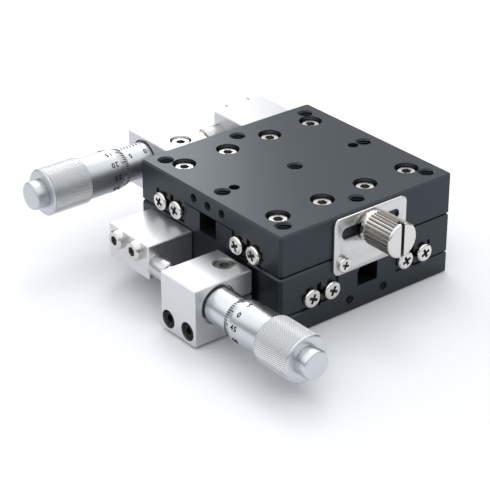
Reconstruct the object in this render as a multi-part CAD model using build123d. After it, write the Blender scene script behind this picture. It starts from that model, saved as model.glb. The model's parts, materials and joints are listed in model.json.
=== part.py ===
from build123d import *
import math
import os

# Two-axis crossed-roller translation stage, 60 x 60 mm, driven by two micrometer heads.
# Millimetres. +Z is up, z = 0 is the underside of the base plate, the origin is its centre.
# The lower axis slides along Y and its micrometer stands on the -X side. The upper axis slides
# along X. It is the same set of pieces turned by -90 degrees and lifted by one level, so every
# guide piece is written once in the frame of the lower axis and placed twice.

# ---------------------------------------------------------------- driving dimensions
PLATE = 60.0
HALF = PLATE / 2
TOTAL_HEIGHT = 30.0
LEVEL = 11.7                    # rise from the lower guide to the upper guide
PLATE_GAP = 0.3                 # daylight between two plates
EDGE_CHAMFER = 0.5
CORNER_CHAMFER = 0.8
SLIDE_FACE_RELIEF = 0.05        # the face that slides behind a lock plate is ground back by this
TRAVEL = 6.5                    # each axis moves this far either way

LAND_Z = 6.0                    # top of the base beside its guide
SEAT_Z = 6.5                    # seat of the inner rails
RAIL_H = 6.0
RAIL_W = 5.5
RAIL_L = 59.0
RAIL_GAP = 1.4                  # between the faces of a rail pair
RAIL_TOP_Z = SEAT_Z + RAIL_H
RAIL_MID_Z = SEAT_Z + RAIL_H / 2
ROOF_Z = RAIL_TOP_Z + PLATE_GAP  # underside of the carriage over the rib and inner rails
RIB_HALF = 10.25                # half width of the centre rib that the inner rails lean on
SLOT_HALF = 3.5                 # half width of the spring slot in the rib
SLOT_FLOOR_Z = 7.0
ROW_INNER = RIB_HALF + RAIL_W / 2
GUIDE_X = RIB_HALF + RAIL_W + RAIL_GAP / 2
ROW_OUTER = GUIDE_X + RAIL_GAP / 2 + RAIL_W / 2
CHANNEL_HALF = GUIDE_X + RAIL_GAP / 2 + RAIL_W
RAIL_PITCH = 15.0
RAIL_HOLES = (-1.5 * RAIL_PITCH, -0.5 * RAIL_PITCH, 0.5 * RAIL_PITCH, 1.5 * RAIL_PITCH)

ROLLER_R = 1.0
ROLLER_L = 1.9
ROLLER_PITCH = 4.0
ROLLER_COUNT = 13
GROOVE_FIT = 0.03               # running clearance between a roller and its groove
GROOVE_RELIEF = 0.26            # half width of the grinding relief at the groove's root
CAGE_T = 0.4
CAGE_H = 4.4
CAGE_L = RAIL_L - TRAVEL - 1.5  # the cage shifts by half the travel each way between the end screws
WINDOW_W = 2.2
WINDOW_H = 3.0

M2_R = 1.0
M25_R = 1.25
M3_R = 1.5
M4_R = 2.0
THREAD_FIT = 0.02               # radial gap between a screw and its own tapped hole
CAP_HEAD_R = 2.75               # M3 socket cap head
CAP_HEAD_H = 3.0
LOW_HEAD_H = 2.0                # the same screw with a low head
M25_HEAD_R = 2.25
M25_HEAD_H = 2.5
COUNTERBORE_R = 3.0
TABLE_COUNTERBORE_R = 3.3       # the same screws in the table have more room round the head
COUNTERBORE_FLOOR = 1.9         # metal left under a rail screw's head
M2_CAP_HEAD_R = 1.9
M2_CAP_HEAD_H = 2.0
END_HEAD_R = 2.6
END_HEAD_H = 1.9

GRID = 25.0                     # half of the 50 mm hole square on the table and under the base
TABLE_HOLE_DEPTH = 5.0
LOCK_CLEAR_DEPTH = 3.0          # the table hole over the lock screw stops short of it
SIDE_HOLE = 6.0                 # accessory holes in the front of the base and the left of the table
SIDE_HOLE_Z = 27.3
BASE_HOLE_Z = 3.9
TAP_R = 1.25
ANCHOR_Y = 21.0                 # spring anchor holes
POST_Y = -25.0                  # spring cross pin

MIC_X = -42.0                   # axis of the lower micrometer
MIC_Z = 10.9
BLOCK_OUT = -49.8               # micrometer block, outer face
BLOCK_Y = (-20.0, -5.5)
BLOCK_Z = (0.7, 17.2)
BLOCK_RELIEF = 1.3              # the block stands clear of the moving plate above its foot
BLOCK_UNDERCUT = (8.2, 0.5)     # length and height milled off under the foot, over the plate below
BLOCK_RECESS = (5.6, 1.6)       # radius and depth of the recess round the sleeve
CLAMP_XY = (-34.6, -12.75)
CLAMP_SEAT_Z = 14.7
CLAMP_SEAT_R = 3.1
SLIT_Z = 10.2
SLIT_T = 0.8
BLOCK_SCREW_Y = (-8.7, -16.8)
BLOCK_SCREW_Z = 4.25
BLOCK_COUNTERBORE = (2.6, 3.0)  # radius and depth over the foot screws

SLEEVE_R = 5.0
SLEEVE_END = -43.0
THIMBLE_FRONT = -28.6
BEVEL_END = -31.5
KNURL_START = -41.8
THIMBLE_END = -54.6
CAP_END = -58.3
THIMBLE_R = 5.95
KNURL_R = 6.6
CAP_R = 4.0
SPINDLE_R = 2.5
JOURNAL_R = 2.0                 # rear end of the spindle, inside the thimble's hub
HUB_Y = -52.0
CAP_STEM_R = 1.0
RUNNING_FIT = 0.05
NOSE_Y = -5.8                   # front of the sleeve, just inside the block
ANVIL_FACE_Y = 0.8              # face of the hardened pin that the spindle pushes
ANVIL_R = 3.0
ANVIL_SHANK_L = 3.0
SPINDLE_TIP = ANVIL_FACE_Y - RUNNING_FIT

BRACKET_X = (-44.7, -HALF)
BRACKET_Y = (6.8, 24.7)
BRACKET_Z = (7.2, 17.25)
BRACKET_SCREW_Y = (11.6, 19.6)
BRACKET_SCREW_Z = 14.5

LOCK_PLATE_HALF = 12.6          # lock plate, written for the upper axis on the -Y face
LOCK_PLATE_Z = (13.0, 29.3)
LOCK_PLATE_T = 0.75
LOCK_SLOT = (20.0, 3.3)
LOCK_Z = 24.6
LOCK_SCREW = (9.5, 16.0)        # half spacing and height of its two screws
LOCK_HEAD_R = 2.1
LOCK_HEAD_H = 1.2
LOWER_LOCK_DROP = 0.4           # the lower knob stands this much lower, clear of the moving top
WASHER_T = 0.8
WASHER_R = 3.6
KNOB_R = 4.9
KNOB_COLLAR_R = 4.65
KNOB_COLLAR_L = 1.2
KNOB_FACE = -42.8
KNOB_SLOT = (1.1, 2.0)          # width and depth of the coin slot

WIRE_R = 0.3
COIL_R = 2.0
COIL_PITCH = 1.9
COIL_TURNS = 16
HOOK_R = M2_R + WIRE_R + 0.05
SPRING_Z = 9.75
LEG_LEAD = 1.6                  # axial room for the bend between a leg and the coil


def upper(shape):
    """Turn a lower-axis shape by -90 degrees and lift it one level, onto the upper axis."""
    return Pos(0, 0, LEVEL) * Rot(0, 0, -90) * shape


def lower_lock(shape):
    """Bring a piece of the upper lock down to the lower axis, which sits a little lower there."""
    return Rot(0, 0, 90) * Pos(0, 0, -LEVEL - LOWER_LOCK_DROP) * shape


def block(x, y, z):
    """A box between pairs of limits."""
    size = (x[1] - x[0], y[1] - y[0], z[1] - z[0])
    return Pos((x[0] + x[1]) / 2, (y[0] + y[1]) / 2, (z[0] + z[1]) / 2) * Box(*size)


def rod_x(radius, y, z, x0, x1):
    return Pos((x0 + x1) / 2, y, z) * Rot(0, 90, 0) * Cylinder(radius, abs(x1 - x0))


def rod_y(radius, x, z, y0, y1):
    return Pos(x, (y0 + y1) / 2, z) * Rot(90, 0, 0) * Cylinder(radius, abs(y1 - y0))


def rod_z(radius, x, y, z0, z1):
    return Pos(x, y, (z0 + z1) / 2) * Cylinder(radius, abs(z1 - z0))


def cut_all(body, tools):
    """Subtract a list of tools in one step."""
    return body - Compound(children=list(tools))


# ---------------------------------------------------------------- fasteners
def cap_screw(radius, head_r, head_h, length, socket_af, socket_depth):
    """Socket cap screw with its seat at z = 0, head up and shank down."""
    head = chamfer(Cylinder(head_r, head_h).edges().group_by(Axis.Z)[-1], head_r * 0.14)
    screw = Pos(0, 0, head_h / 2) * head + Pos(0, 0, -length / 2) * Cylinder(radius, length)
    hexagon = RegularPolygon(socket_af / math.sqrt(3), 6)
    socket = extrude(Pos(0, 0, head_h - socket_depth) * hexagon, amount=socket_depth)
    return screw - socket


def m3_cap(length, head_h=CAP_HEAD_H):
    return cap_screw(M3_R - THREAD_FIT, CAP_HEAD_R, head_h, length, 2.5, head_h * 0.6)


def m25_cap(length):
    return cap_screw(M25_R - THREAD_FIT, M25_HEAD_R, M25_HEAD_H, length, 2.0, M25_HEAD_H / 2)


def m2_cap(length):
    return cap_screw(M2_R - THREAD_FIT, M2_CAP_HEAD_R, M2_CAP_HEAD_H, length, 1.5, 1.0)


def pan_screw(radius, head_r, head_h, length):
    """Cross-recessed pan-head screw with its seat at z = 0, head up and shank down."""
    rim = head_h * 0.6
    flat = head_r * 0.7
    side = Line((head_r, 0), (head_r, rim))
    crown = ThreePointArc((head_r, rim), (head_r * 0.92, head_h * 0.91), (flat, head_h))
    rest = Polyline((flat, head_h), (0, head_h), (0, -length), (radius, -length), (radius, 0), (head_r, 0))
    profile = Plane.XZ * make_face([side, crown, rest])
    screw = revolve(profile, Axis.Z)
    arm = head_r * 0.32
    depth = head_h * 0.65
    recess = Box(head_r * 1.1, arm, 2 * depth) + Box(arm, head_r * 1.1, 2 * depth)
    return screw - Pos(0, 0, head_h) * recess


# ---------------------------------------------------------------- plates
def plate_blank(x, y, z):
    """Plate block with broken upright corners and broken top and bottom edges."""
    blank = block(x, y, z)
    blank = chamfer(blank.edges().filter_by(Axis.Z), CORNER_CHAMFER)
    rims = blank.edges().filter_by(Axis.Z, reverse=True)
    return chamfer(rims, EDGE_CHAMFER)


def guide_bed(land_z):
    """Rib with its spring slot and the two rail seats, standing on a plate whose top is land_z."""
    lift = land_z - LAND_Z
    seat = block((-GUIDE_X, GUIDE_X), (-HALF, HALF), (land_z - 1, SEAT_Z + lift))
    rib = block((-RIB_HALF, RIB_HALF), (-HALF, HALF), (land_z - 1, RAIL_TOP_Z + lift))
    return seat + rib


def guide_bed_cuts():
    """Cuts in a bed, written for the lower axis: spring slot, post hole and rail screw threads."""
    slot = block((-SLOT_HALF, SLOT_HALF), (-HALF - 1, HALF + 1), (SLOT_FLOOR_Z, RAIL_TOP_Z + 1))
    post = rod_x(M2_R, POST_Y, SPRING_Z, -RIB_HALF - 1, RIB_HALF - 4)
    threads = [
        rod_z(M2_R, side * ROW_INNER, y, SEAT_Z - 4.2, SEAT_Z + 1)
        for side in (-1, 1)
        for y in RAIL_HOLES
    ]
    return [slot, post, *threads]


def carriage_cuts(counterbore_r=COUNTERBORE_R):
    """Cuts in a carriage, written for the lower axis: the channel over the bed and its screw holes."""
    channel = block((-CHANNEL_HALF, CHANNEL_HALF), (-HALF - 1, HALF + 1), (LAND_Z - 1, RAIL_TOP_Z))
    inner = GUIDE_X + RAIL_GAP / 2 - 0.3
    relief = block((-inner, inner), (-HALF - 1, HALF + 1), (RAIL_TOP_Z - 1, ROOF_Z))
    floor_z = RAIL_TOP_Z + COUNTERBORE_FLOOR
    cuts = [channel, relief]
    for side in (-1, 1):
        for y in RAIL_HOLES:
            cuts.append(rod_z(M3_R, side * ROW_OUTER, y, RAIL_TOP_Z - 1, floor_z + 1))
            cuts.append(rod_z(counterbore_r, side * ROW_OUTER, y, floor_z, floor_z + 14))
        cuts.append(rod_z(M3_R, 0, side * ANCHOR_Y, ROOF_Z - 1, ROOF_Z + 8))
    return cuts


def block_foot_threads():
    """Threads in the plate that a micrometer block is screwed to, lower axis."""
    return [rod_x(M25_R, y, BLOCK_SCREW_Z, -HALF - 1, -HALF + 4.5) for y in BLOCK_SCREW_Y]


def bracket_threads():
    """Threads in the flange that an anvil bracket is screwed to, lower axis."""
    return [rod_x(M3_R, y, BRACKET_SCREW_Z, -HALF - 1, -HALF + 5.5) for y in BRACKET_SCREW_Y]


def lock_plate_threads():
    """Threads for the two lock plate screws, upper axis."""
    half, z = LOCK_SCREW
    return [rod_y(M2_R, side * half, z, -HALF - 1, -HALF + 4.2) for side in (-1, 1)]


def lock_knob_thread():
    """Thread for the lock knob in the flange of the plate that it clamps, upper axis."""
    return rod_y(M3_R, 0, LOCK_Z, -HALF - 1, -HALF + 6.5)


def base_plate():
    body = plate_blank((-HALF, HALF), (-HALF, HALF), (0, LAND_Z)) + guide_bed(LAND_Z)
    cuts = guide_bed_cuts() + block_foot_threads()
    cuts += [lower_lock(tool) for tool in lock_plate_threads()]
    for x in (-GRID, GRID):
        cuts += [rod_z(M4_R, x, y, -1, LAND_Z + 1) for y in (-GRID, GRID)]
    cuts += [rod_y(TAP_R, x, BASE_HOLE_Z, -HALF - 1, -HALF + 3) for x in (-SIDE_HOLE, SIDE_HOLE)]
    return cut_all(body, cuts)


def middle_plate():
    bottom = LAND_Z + PLATE_GAP
    land = LAND_Z + LEVEL
    body = plate_blank((-HALF, HALF - SLIDE_FACE_RELIEF), (-HALF, HALF), (bottom, land))
    body += upper(Pos(0, 0, -LEVEL) * guide_bed(land))
    cuts = carriage_cuts() + bracket_threads() + lock_plate_threads()
    cuts += [upper(tool) for tool in guide_bed_cuts() + block_foot_threads()]
    cuts.append(lower_lock(lock_knob_thread()))
    return cut_all(body, cuts)


def top_plate():
    bottom = LAND_Z + LEVEL + PLATE_GAP
    body = plate_blank((-HALF, HALF), (-HALF + SLIDE_FACE_RELIEF, HALF), (bottom, TOTAL_HEIGHT))
    cuts = [upper(tool) for tool in carriage_cuts(TABLE_COUNTERBORE_R) + bracket_threads()]
    cuts.append(lock_knob_thread())
    for x in (-GRID, 0, GRID):
        for y in (-GRID, 0, GRID):
            over_lock = x == 0 and y < 0
            depth = LOCK_CLEAR_DEPTH if over_lock else TABLE_HOLE_DEPTH
            cuts.append(rod_z(M4_R, x, y, TOTAL_HEIGHT - depth, TOTAL_HEIGHT + 1))
            cuts.append(Pos(x, y, TOTAL_HEIGHT) * Cone(M4_R, M4_R + 0.6, 0.6))
    for y in (-SIDE_HOLE, 0, SIDE_HOLE):
        depth = 4.0 if y else 2.4
        cuts.append(rod_x(TAP_R, y, SIDE_HOLE_Z, -HALF - 1, -HALF + depth))
    return cut_all(body, cuts)


# ---------------------------------------------------------------- crossed-roller guide
def groove_profile(face_x, root_x):
    """Points of the V groove, from the lower lip round the relieved root to the upper lip."""
    lip = abs(root_x - face_x)
    toward = 1 if root_x > face_x else -1
    relief_x = root_x - toward * GROOVE_RELIEF
    deep_x = root_x + toward * 0.15
    return [
        (face_x, RAIL_MID_Z - lip),
        (relief_x, RAIL_MID_Z - GROOVE_RELIEF),
        (deep_x, RAIL_MID_Z - GROOVE_RELIEF),
        (deep_x, RAIL_MID_Z + GROOVE_RELIEF),
        (relief_x, RAIL_MID_Z + GROOVE_RELIEF),
        (face_x, RAIL_MID_Z + lip),
    ]


def rail(inner):
    """One +X rail: inner rails sit on the bed with their groove outwards, outer rails face them."""
    reach = (ROLLER_R + GROOVE_FIT) * math.sqrt(2)
    sign = -1 if inner else 1
    face = GUIDE_X + sign * RAIL_GAP / 2
    back = face + sign * RAIL_W
    root = GUIDE_X + sign * reach
    low, high = SEAT_Z, RAIL_TOP_Z
    points = [(back, low), (face, low), *groove_profile(face, root), (face, high), (back, high)]
    section = Plane.XZ * make_face(Polyline(*points, close=True))
    body = extrude(section, amount=RAIL_L / 2, both=True)
    row = ROW_INNER if inner else ROW_OUTER
    cuts = []
    for y in RAIL_HOLES:
        radius = M2_R + 0.1 if inner else M3_R
        cuts.append(rod_z(radius, row, y, low - 1, high + 1))
        if inner:
            cuts.append(rod_z(M2_CAP_HEAD_R + 0.2, row, y, high - M2_CAP_HEAD_H - 0.2, high + 1))
    for end in (-1, 1):
        cuts.append(rod_y(TAP_R, row, RAIL_MID_Z, end * (RAIL_L / 2 - 4.5), end * (RAIL_L / 2 + 1)))
    return cut_all(body, cuts)


def rail_pair(inner):
    one = rail(inner)
    return [one, Rot(0, 0, 180) * one]


def inner_rail_screws():
    seat = RAIL_TOP_Z - M2_CAP_HEAD_H - 0.2
    screw = m2_cap(seat - SEAT_Z + 4.0)
    return [Pos(side * ROW_INNER, y, seat) * screw for side in (-1, 1) for y in RAIL_HOLES]


def outer_rail_screws():
    seat = RAIL_TOP_Z + COUNTERBORE_FLOOR
    screw = m3_cap(COUNTERBORE_FLOOR + 4.1)
    return [Pos(side * ROW_OUTER, y, seat) * screw for side in (-1, 1) for y in RAIL_HOLES]


def rail_end_screws(row):
    """Cross-recessed screws in both ends of the two rails at this distance from the centre."""
    screw = pan_screw(TAP_R - THREAD_FIT, END_HEAD_R, END_HEAD_H, 4.0)
    screws = []
    for side in (-1, 1):
        front = Pos(side * row, -RAIL_L / 2, RAIL_MID_Z) * Rot(90, 0, 0) * Rot(0, 0, 25 * side)
        back = Pos(side * row, RAIL_L / 2, RAIL_MID_Z) * Rot(-90, 0, 0) * Rot(0, 0, 40 * side)
        screws += [front * screw, back * screw]
    return screws


def roller_places():
    half = (ROLLER_COUNT - 1) / 2
    return [(i, (i - half) * ROLLER_PITCH) for i in range(ROLLER_COUNT)]


def roller_cages():
    cages = []
    for side in (-1, 1):
        x = side * GUIDE_X
        strip = Pos(x, 0, RAIL_MID_Z) * Box(CAGE_T, CAGE_L, CAGE_H)
        windows = [Pos(x, y, RAIL_MID_Z) * Box(1, WINDOW_W, WINDOW_H) for _, y in roller_places()]
        cages.append(cut_all(strip, windows))
    return cages


def rollers():
    """Rollers lie at +45 and -45 degrees in turn, so that the guide carries load both ways."""
    roller = Cylinder(ROLLER_R, ROLLER_L)
    placed = []
    for side in (-1, 1):
        for i, y in roller_places():
            tilt = 45 if i % 2 else -45
            placed.append(Pos(side * GUIDE_X, y, RAIL_MID_Z) * Rot(0, tilt, 0) * roller)
    return placed


# ---------------------------------------------------------------- return spring
def biarc(p0, t0, p1, t1):
    """Two tangent arcs from p0 along t0 to p1 along t1."""
    v = p1 - p0
    both = t0 + t1
    a = 2 * (1 - t0.dot(t1))
    b = v.dot(both)
    c = -v.dot(v)
    reach = -c / (2 * b) if a < 1e-9 else (-b + math.sqrt(b * b - a * c)) / a
    middle = (p0 + t0 * reach + p1 - t1 * reach) / 2
    chord = (middle - p0).normalized()
    turn = chord * (2 * t0.dot(chord)) - t0
    return [
        Edge.make_tangent_arc(p0, t0, middle),
        Edge.make_tangent_arc(middle, turn, p1),
    ]


def coil_point(angle, start_y):
    """Point and direction on the coil at an angle in quarter turns from the top."""
    a = math.radians(90 + 90 * angle)
    y = start_y + COIL_PITCH * angle / 4
    point = Vector(COIL_R * math.cos(a), y, SPRING_Z + COIL_R * math.sin(a))
    rise = COIL_PITCH / (2 * math.pi)
    direction = Vector(-COIL_R * math.sin(a), rise, COIL_R * math.cos(a)).normalized()
    return point, direction


def spring_path():
    """Hook round the cross pin, leg, coil, leg and hook round the anchor pin, as one path."""
    length = COIL_PITCH * (COIL_TURNS + 0.75)
    start_y = (POST_Y + ANCHOR_Y - length) / 2
    along = Vector(0, 1, 0)
    low_pin = Vector(0, POST_Y, SPRING_Z)
    high_pin = Vector(0, ANCHOR_Y, SPRING_Z)
    up = Vector(0, 0, HOOK_R)
    out = Vector(HOOK_R, 0, 0)
    tail = along * 1.2
    edges = [
        Edge.make_line(low_pin - up + tail, low_pin - up),
        Edge.make_three_point_arc(low_pin - up, low_pin - along * HOOK_R, low_pin + up),
    ]
    steps = 4 * COIL_TURNS + 1
    first, first_dir = coil_point(1, start_y)
    leg_end = Vector(0, first.Y - LEG_LEAD, SPRING_Z + HOOK_R)
    edges.append(Edge.make_line(low_pin + up, leg_end))
    edges += biarc(leg_end, along, first, first_dir)
    for step in range(1, steps + 1):
        p0, t0 = coil_point(step, start_y)
        p1, t1 = coil_point(step + 1, start_y)
        edges += biarc(p0, t0, p1, t1)
    last, last_dir = coil_point(steps + 1, start_y)
    leg_start = Vector(HOOK_R, last.Y + LEG_LEAD, SPRING_Z)
    edges += biarc(last, last_dir, leg_start, along)
    edges += [
        Edge.make_line(leg_start, high_pin + out),
        Edge.make_three_point_arc(high_pin + out, high_pin + along * HOOK_R, high_pin - out),
        Edge.make_line(high_pin - out, high_pin - out - tail),
    ]
    return edges


def print_spring_gap(edges):
    """Measure the least gap of the wire to itself on points of its centre line."""
    points = []
    travelled = 0.0
    for edge in edges:
        count = max(2, round(edge.length / 0.15))
        for i in range(count):
            points.append((travelled + edge.length * i / count, edge @ (i / count)))
        travelled += edge.length
    least = 1e9
    for i, (s, p) in enumerate(points):
        for t, q in points[i + 1:]:
            if t - s > 4.0:
                least = min(least, (p - q).length)
    print("spring: wire length", round(travelled, 1), "least self-gap", round(least - 2 * WIRE_R, 3))


def spring():
    edges = spring_path()
    path = Wire(edges)
    start = edges[0]
    section = Plane(origin=start @ 0, z_dir=start % 0) * Circle(WIRE_R)
    return sweep(section, path=path)


def spring_post():
    """Cross pin through the rib that holds the fixed end of the spring."""
    return rod_x(M2_R - 0.01, POST_Y, SPRING_Z, -RIB_HALF + 4, RIB_HALF - 4)


def spring_anchor():
    """Stepped pin that hangs from the carriage into the slot and pulls the moving end."""
    stem = rod_z(M3_R - 0.01, 0, ANCHOR_Y, ROOF_Z, ROOF_Z + 3.6)
    peg = rod_z(M2_R, 0, ANCHOR_Y, ROOF_Z - 4.6, ROOF_Z)
    return stem + peg


# ---------------------------------------------------------------- micrometer and its block
def micrometer_block():
    """Split clamp block: a foot on the lower plate, a bore near the top and a clamp screw."""
    body = block((BLOCK_OUT, -HALF), BLOCK_Y, BLOCK_Z)
    body = chamfer(body.edges(), 0.3)
    span = (BLOCK_Y[0] - 1, BLOCK_Y[1] + 1)
    relief = block((-HALF - BLOCK_RELIEF, -HALF + 1), span, (LAND_Z - 0.1, BLOCK_Z[1] + 1))
    length, height = BLOCK_UNDERCUT
    undercut = block((-HALF - length, -HALF + 1), span, (BLOCK_Z[0] - 1, BLOCK_Z[0] + height))
    bore = rod_y(SLEEVE_R + THREAD_FIT, MIC_X, MIC_Z, *span)
    recess_r, recess_depth = BLOCK_RECESS
    recess = rod_y(recess_r, MIC_X, MIC_Z, BLOCK_Y[0] - 1, BLOCK_Y[0] + recess_depth)
    slit = block((MIC_X + 3, -HALF + 1), span, (SLIT_Z - SLIT_T / 2, SLIT_Z + SLIT_T / 2))
    x, y = CLAMP_XY
    clamp_hole = rod_z(M3_R, x, y, 2.6, CLAMP_SEAT_Z + 1)
    clamp_seat = rod_z(CLAMP_SEAT_R, x, y, CLAMP_SEAT_Z, BLOCK_Z[1] + 1)
    cuts = [relief, undercut, bore, recess, slit, clamp_hole, clamp_seat]
    radius, depth = BLOCK_COUNTERBORE
    for screw_y in BLOCK_SCREW_Y:
        cuts.append(rod_x(M25_R, screw_y, BLOCK_SCREW_Z, BLOCK_OUT, -HALF + 1))
        cuts.append(rod_x(radius, screw_y, BLOCK_SCREW_Z, BLOCK_OUT - 1, BLOCK_OUT + depth))
    return cut_all(body, cuts)


def block_mount_screws():
    seat = BLOCK_OUT + BLOCK_COUNTERBORE[1]
    screw = Rot(0, -90, 0) * m25_cap(-HALF + 4.0 - seat)
    return [Pos(seat, y, BLOCK_SCREW_Z) * screw for y in BLOCK_SCREW_Y]


def block_clamp_screw():
    x, y = CLAMP_XY
    return Pos(x, y, CLAMP_SEAT_Z) * Rot(0, 0, 12) * m3_cap(CLAMP_SEAT_Z - 3.1, LOW_HEAD_H)


def turned(points):
    """Revolve (radius, y) points about the micrometer's axis."""
    outline = make_face(Polyline(*points, close=True))
    return Pos(MIC_X, 0, MIC_Z) * revolve(outline, Axis.Y)


def micrometer_sleeve():
    """Graduated barrel: the block clamps its front and the thimble covers its rear."""
    bore = SPINDLE_R + RUNNING_FIT
    return turned([
        (bore, NOSE_Y), (SLEEVE_R - 0.4, NOSE_Y), (SLEEVE_R, NOSE_Y - 0.4),
        (SLEEVE_R, SLEEVE_END), (bore, SLEEVE_END),
    ])


def thread_nut():
    """Adjusting nut on the rear of the sleeve, which takes up play in the spindle thread."""
    inner = SPINDLE_R + RUNNING_FIT
    nut = turned([
        (inner, SLEEVE_END), (4.6, SLEEVE_END), (4.6, SLEEVE_END - 2.0), (inner, SLEEVE_END - 2.0),
    ])
    notch = block((MIC_X - 6, MIC_X + 6), (SLEEVE_END - 2.5, SLEEVE_END - 1.2), (MIC_Z - 0.5, MIC_Z + 0.5))
    return nut - notch


def spindle():
    """Measuring spindle; its rear journal carries the thimble and is tapped for the cap."""
    return turned([
        (0, SPINDLE_TIP), (SPINDLE_R - 0.3, SPINDLE_TIP), (SPINDLE_R, SPINDLE_TIP - 0.3),
        (SPINDLE_R, HUB_Y + 0.1), (JOURNAL_R, HUB_Y + 0.1), (JOURNAL_R, THIMBLE_END + 0.2),
        (CAP_STEM_R + RUNNING_FIT, THIMBLE_END + 0.2), (CAP_STEM_R + RUNNING_FIT, THIMBLE_END + 5),
        (0, THIMBLE_END + 5),
    ])


def thimble():
    """Bevelled thimble with a raised grip; its bore runs over the sleeve."""
    bore = SLEEVE_R + RUNNING_FIT
    hub = JOURNAL_R + RUNNING_FIT
    return turned([
        (bore, THIMBLE_FRONT), (SLEEVE_R + 0.25, THIMBLE_FRONT), (THIMBLE_R, BEVEL_END),
        (THIMBLE_R, KNURL_START), (KNURL_R - 0.25, KNURL_START), (KNURL_R, KNURL_START - 0.3),
        (KNURL_R, THIMBLE_END + 0.4), (KNURL_R - 0.4, THIMBLE_END), (hub, THIMBLE_END),
        (hub, HUB_Y), (bore + 0.25, HUB_Y), (bore + 0.25, THIMBLE_FRONT - 3),
        (bore, THIMBLE_FRONT - 3),
    ])


def thimble_cap():
    """End cap whose threaded stem screws into the spindle and holds the thimble on it."""
    return turned([
        (0, THIMBLE_END + 4.5), (CAP_STEM_R, THIMBLE_END + 4.5), (CAP_STEM_R, THIMBLE_END),
        (CAP_R, THIMBLE_END), (CAP_R, CAP_END + 0.35), (CAP_R - 0.35, CAP_END), (0, CAP_END),
    ])


def anvil_bracket():
    """Bracket on the moving flange; a pin in it meets the spindle."""
    body = block(BRACKET_X, BRACKET_Y, BRACKET_Z)
    body = chamfer(body.edges(), 0.3)
    holes = [rod_x(M3_R, y, BRACKET_SCREW_Z, BRACKET_X[0] - 1, BRACKET_X[1] + 1) for y in BRACKET_SCREW_Y]
    face = BRACKET_Y[0]
    holes.append(rod_y(M3_R, MIC_X, MIC_Z, face - 1, face + ANVIL_SHANK_L + 0.2))
    return cut_all(body, holes)


def anvil_pin():
    """Hardened pin pressed into the bracket, which the spindle's tip bears on."""
    face = BRACKET_Y[0]
    shank = M3_R - 0.01
    return turned([
        (0, ANVIL_FACE_Y), (ANVIL_R - 0.4, ANVIL_FACE_Y), (ANVIL_R, ANVIL_FACE_Y + 0.4),
        (ANVIL_R, face), (shank, face), (shank, face + ANVIL_SHANK_L), (0, face + ANVIL_SHANK_L),
    ])


def anvil_bracket_screws():
    screw = Rot(0, -90, 0) * m3_cap(BRACKET_X[1] - BRACKET_X[0] + 5.0, LOW_HEAD_H)
    return [Pos(BRACKET_X[0], y, BRACKET_SCREW_Z) * screw for y in BRACKET_SCREW_Y]


# ---------------------------------------------------------------- lock, written for the upper axis
def lock_plate():
    """Thin slotted plate fixed to the plate below; the knob clamps the moving plate to it."""
    z0, z1 = LOCK_PLATE_Z
    sheet = RectangleRounded(2 * LOCK_PLATE_HALF, z1 - z0, 2.0)
    slot = Pos(0, LOCK_Z - (z0 + z1) / 2) * SlotOverall(*LOCK_SLOT)
    half, z = LOCK_SCREW
    holes = [Pos(side * half, z - (z0 + z1) / 2) * Circle(M2_R + 0.1) for side in (-1, 1)]
    face = sheet - slot - holes[0] - holes[1]
    place = Plane(origin=(0, -HALF, (z0 + z1) / 2), x_dir=(1, 0, 0), z_dir=(0, -1, 0))
    return extrude(place * face, amount=LOCK_PLATE_T)


def lock_plate_screws():
    half, z = LOCK_SCREW
    screw = pan_screw(M2_R - THREAD_FIT, LOCK_HEAD_R, LOCK_HEAD_H, 4.5)
    seat = -HALF - LOCK_PLATE_T
    return [Pos(side * half, seat, z) * Rot(90, 0, 0) * Rot(0, 0, 20 * side) * screw for side in (-1, 1)]


def lock_washer():
    outer = -HALF - LOCK_PLATE_T - RUNNING_FIT
    ring = rod_y(WASHER_R, 0, LOCK_Z, outer - WASHER_T, outer)
    return ring - rod_y(M3_R, 0, LOCK_Z, outer - WASHER_T - 1, outer + 1)


def lock_knob():
    """Turned thumb knob with a collar, a coin slot across its face and a threaded shank."""
    seat = -HALF - LOCK_PLATE_T - 2 * RUNNING_FIT - WASHER_T
    collar = seat - KNOB_COLLAR_L
    shank = M3_R - RUNNING_FIT
    outline = make_face(Polyline(
        (0, -HALF + 6.0), (shank, -HALF + 6.0), (shank, seat), (KNOB_COLLAR_R, seat),
        (KNOB_COLLAR_R, collar), (KNOB_R, collar - 0.3), (KNOB_R, KNOB_FACE + 0.4),
        (KNOB_R - 0.4, KNOB_FACE), (0, KNOB_FACE), close=True,
    ))
    knob = Pos(0, 0, LOCK_Z) * revolve(outline, Axis.Y)
    width, depth = KNOB_SLOT
    slot = block((-width / 2, width / 2), (KNOB_FACE - 1, KNOB_FACE + depth), (LOCK_Z - 6, LOCK_Z + 6))
    return knob - slot


# ---------------------------------------------------------------- assembly
def guide_pieces():
    """Pieces of one axis in the lower frame, apart from the lock."""
    return {
        "inner_rails": rail_pair(inner=True),
        "outer_rails": rail_pair(inner=False),
        "inner_rail_screws": inner_rail_screws(),
        "outer_rail_screws": outer_rail_screws(),
        "inner_end_screws": rail_end_screws(ROW_INNER),
        "outer_end_screws": rail_end_screws(ROW_OUTER),
        "roller_cages": roller_cages(),
        "rollers": rollers(),
        "spring": [spring()],
        "spring_post": [spring_post()],
        "spring_anchor": [spring_anchor()],
        "micrometer_block": [micrometer_block()],
        "block_mount_screws": block_mount_screws(),
        "block_clamp_screw": [block_clamp_screw()],
        "micrometer_sleeve": [micrometer_sleeve()],
        "thread_nut": [thread_nut()],
        "spindle": [spindle()],
        "thimble": [thimble()],
        "thimble_cap": [thimble_cap()],
        "anvil_bracket": [anvil_bracket()],
        "anvil_pin": [anvil_pin()],
        "anvil_bracket_screws": anvil_bracket_screws(),
    }


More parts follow.
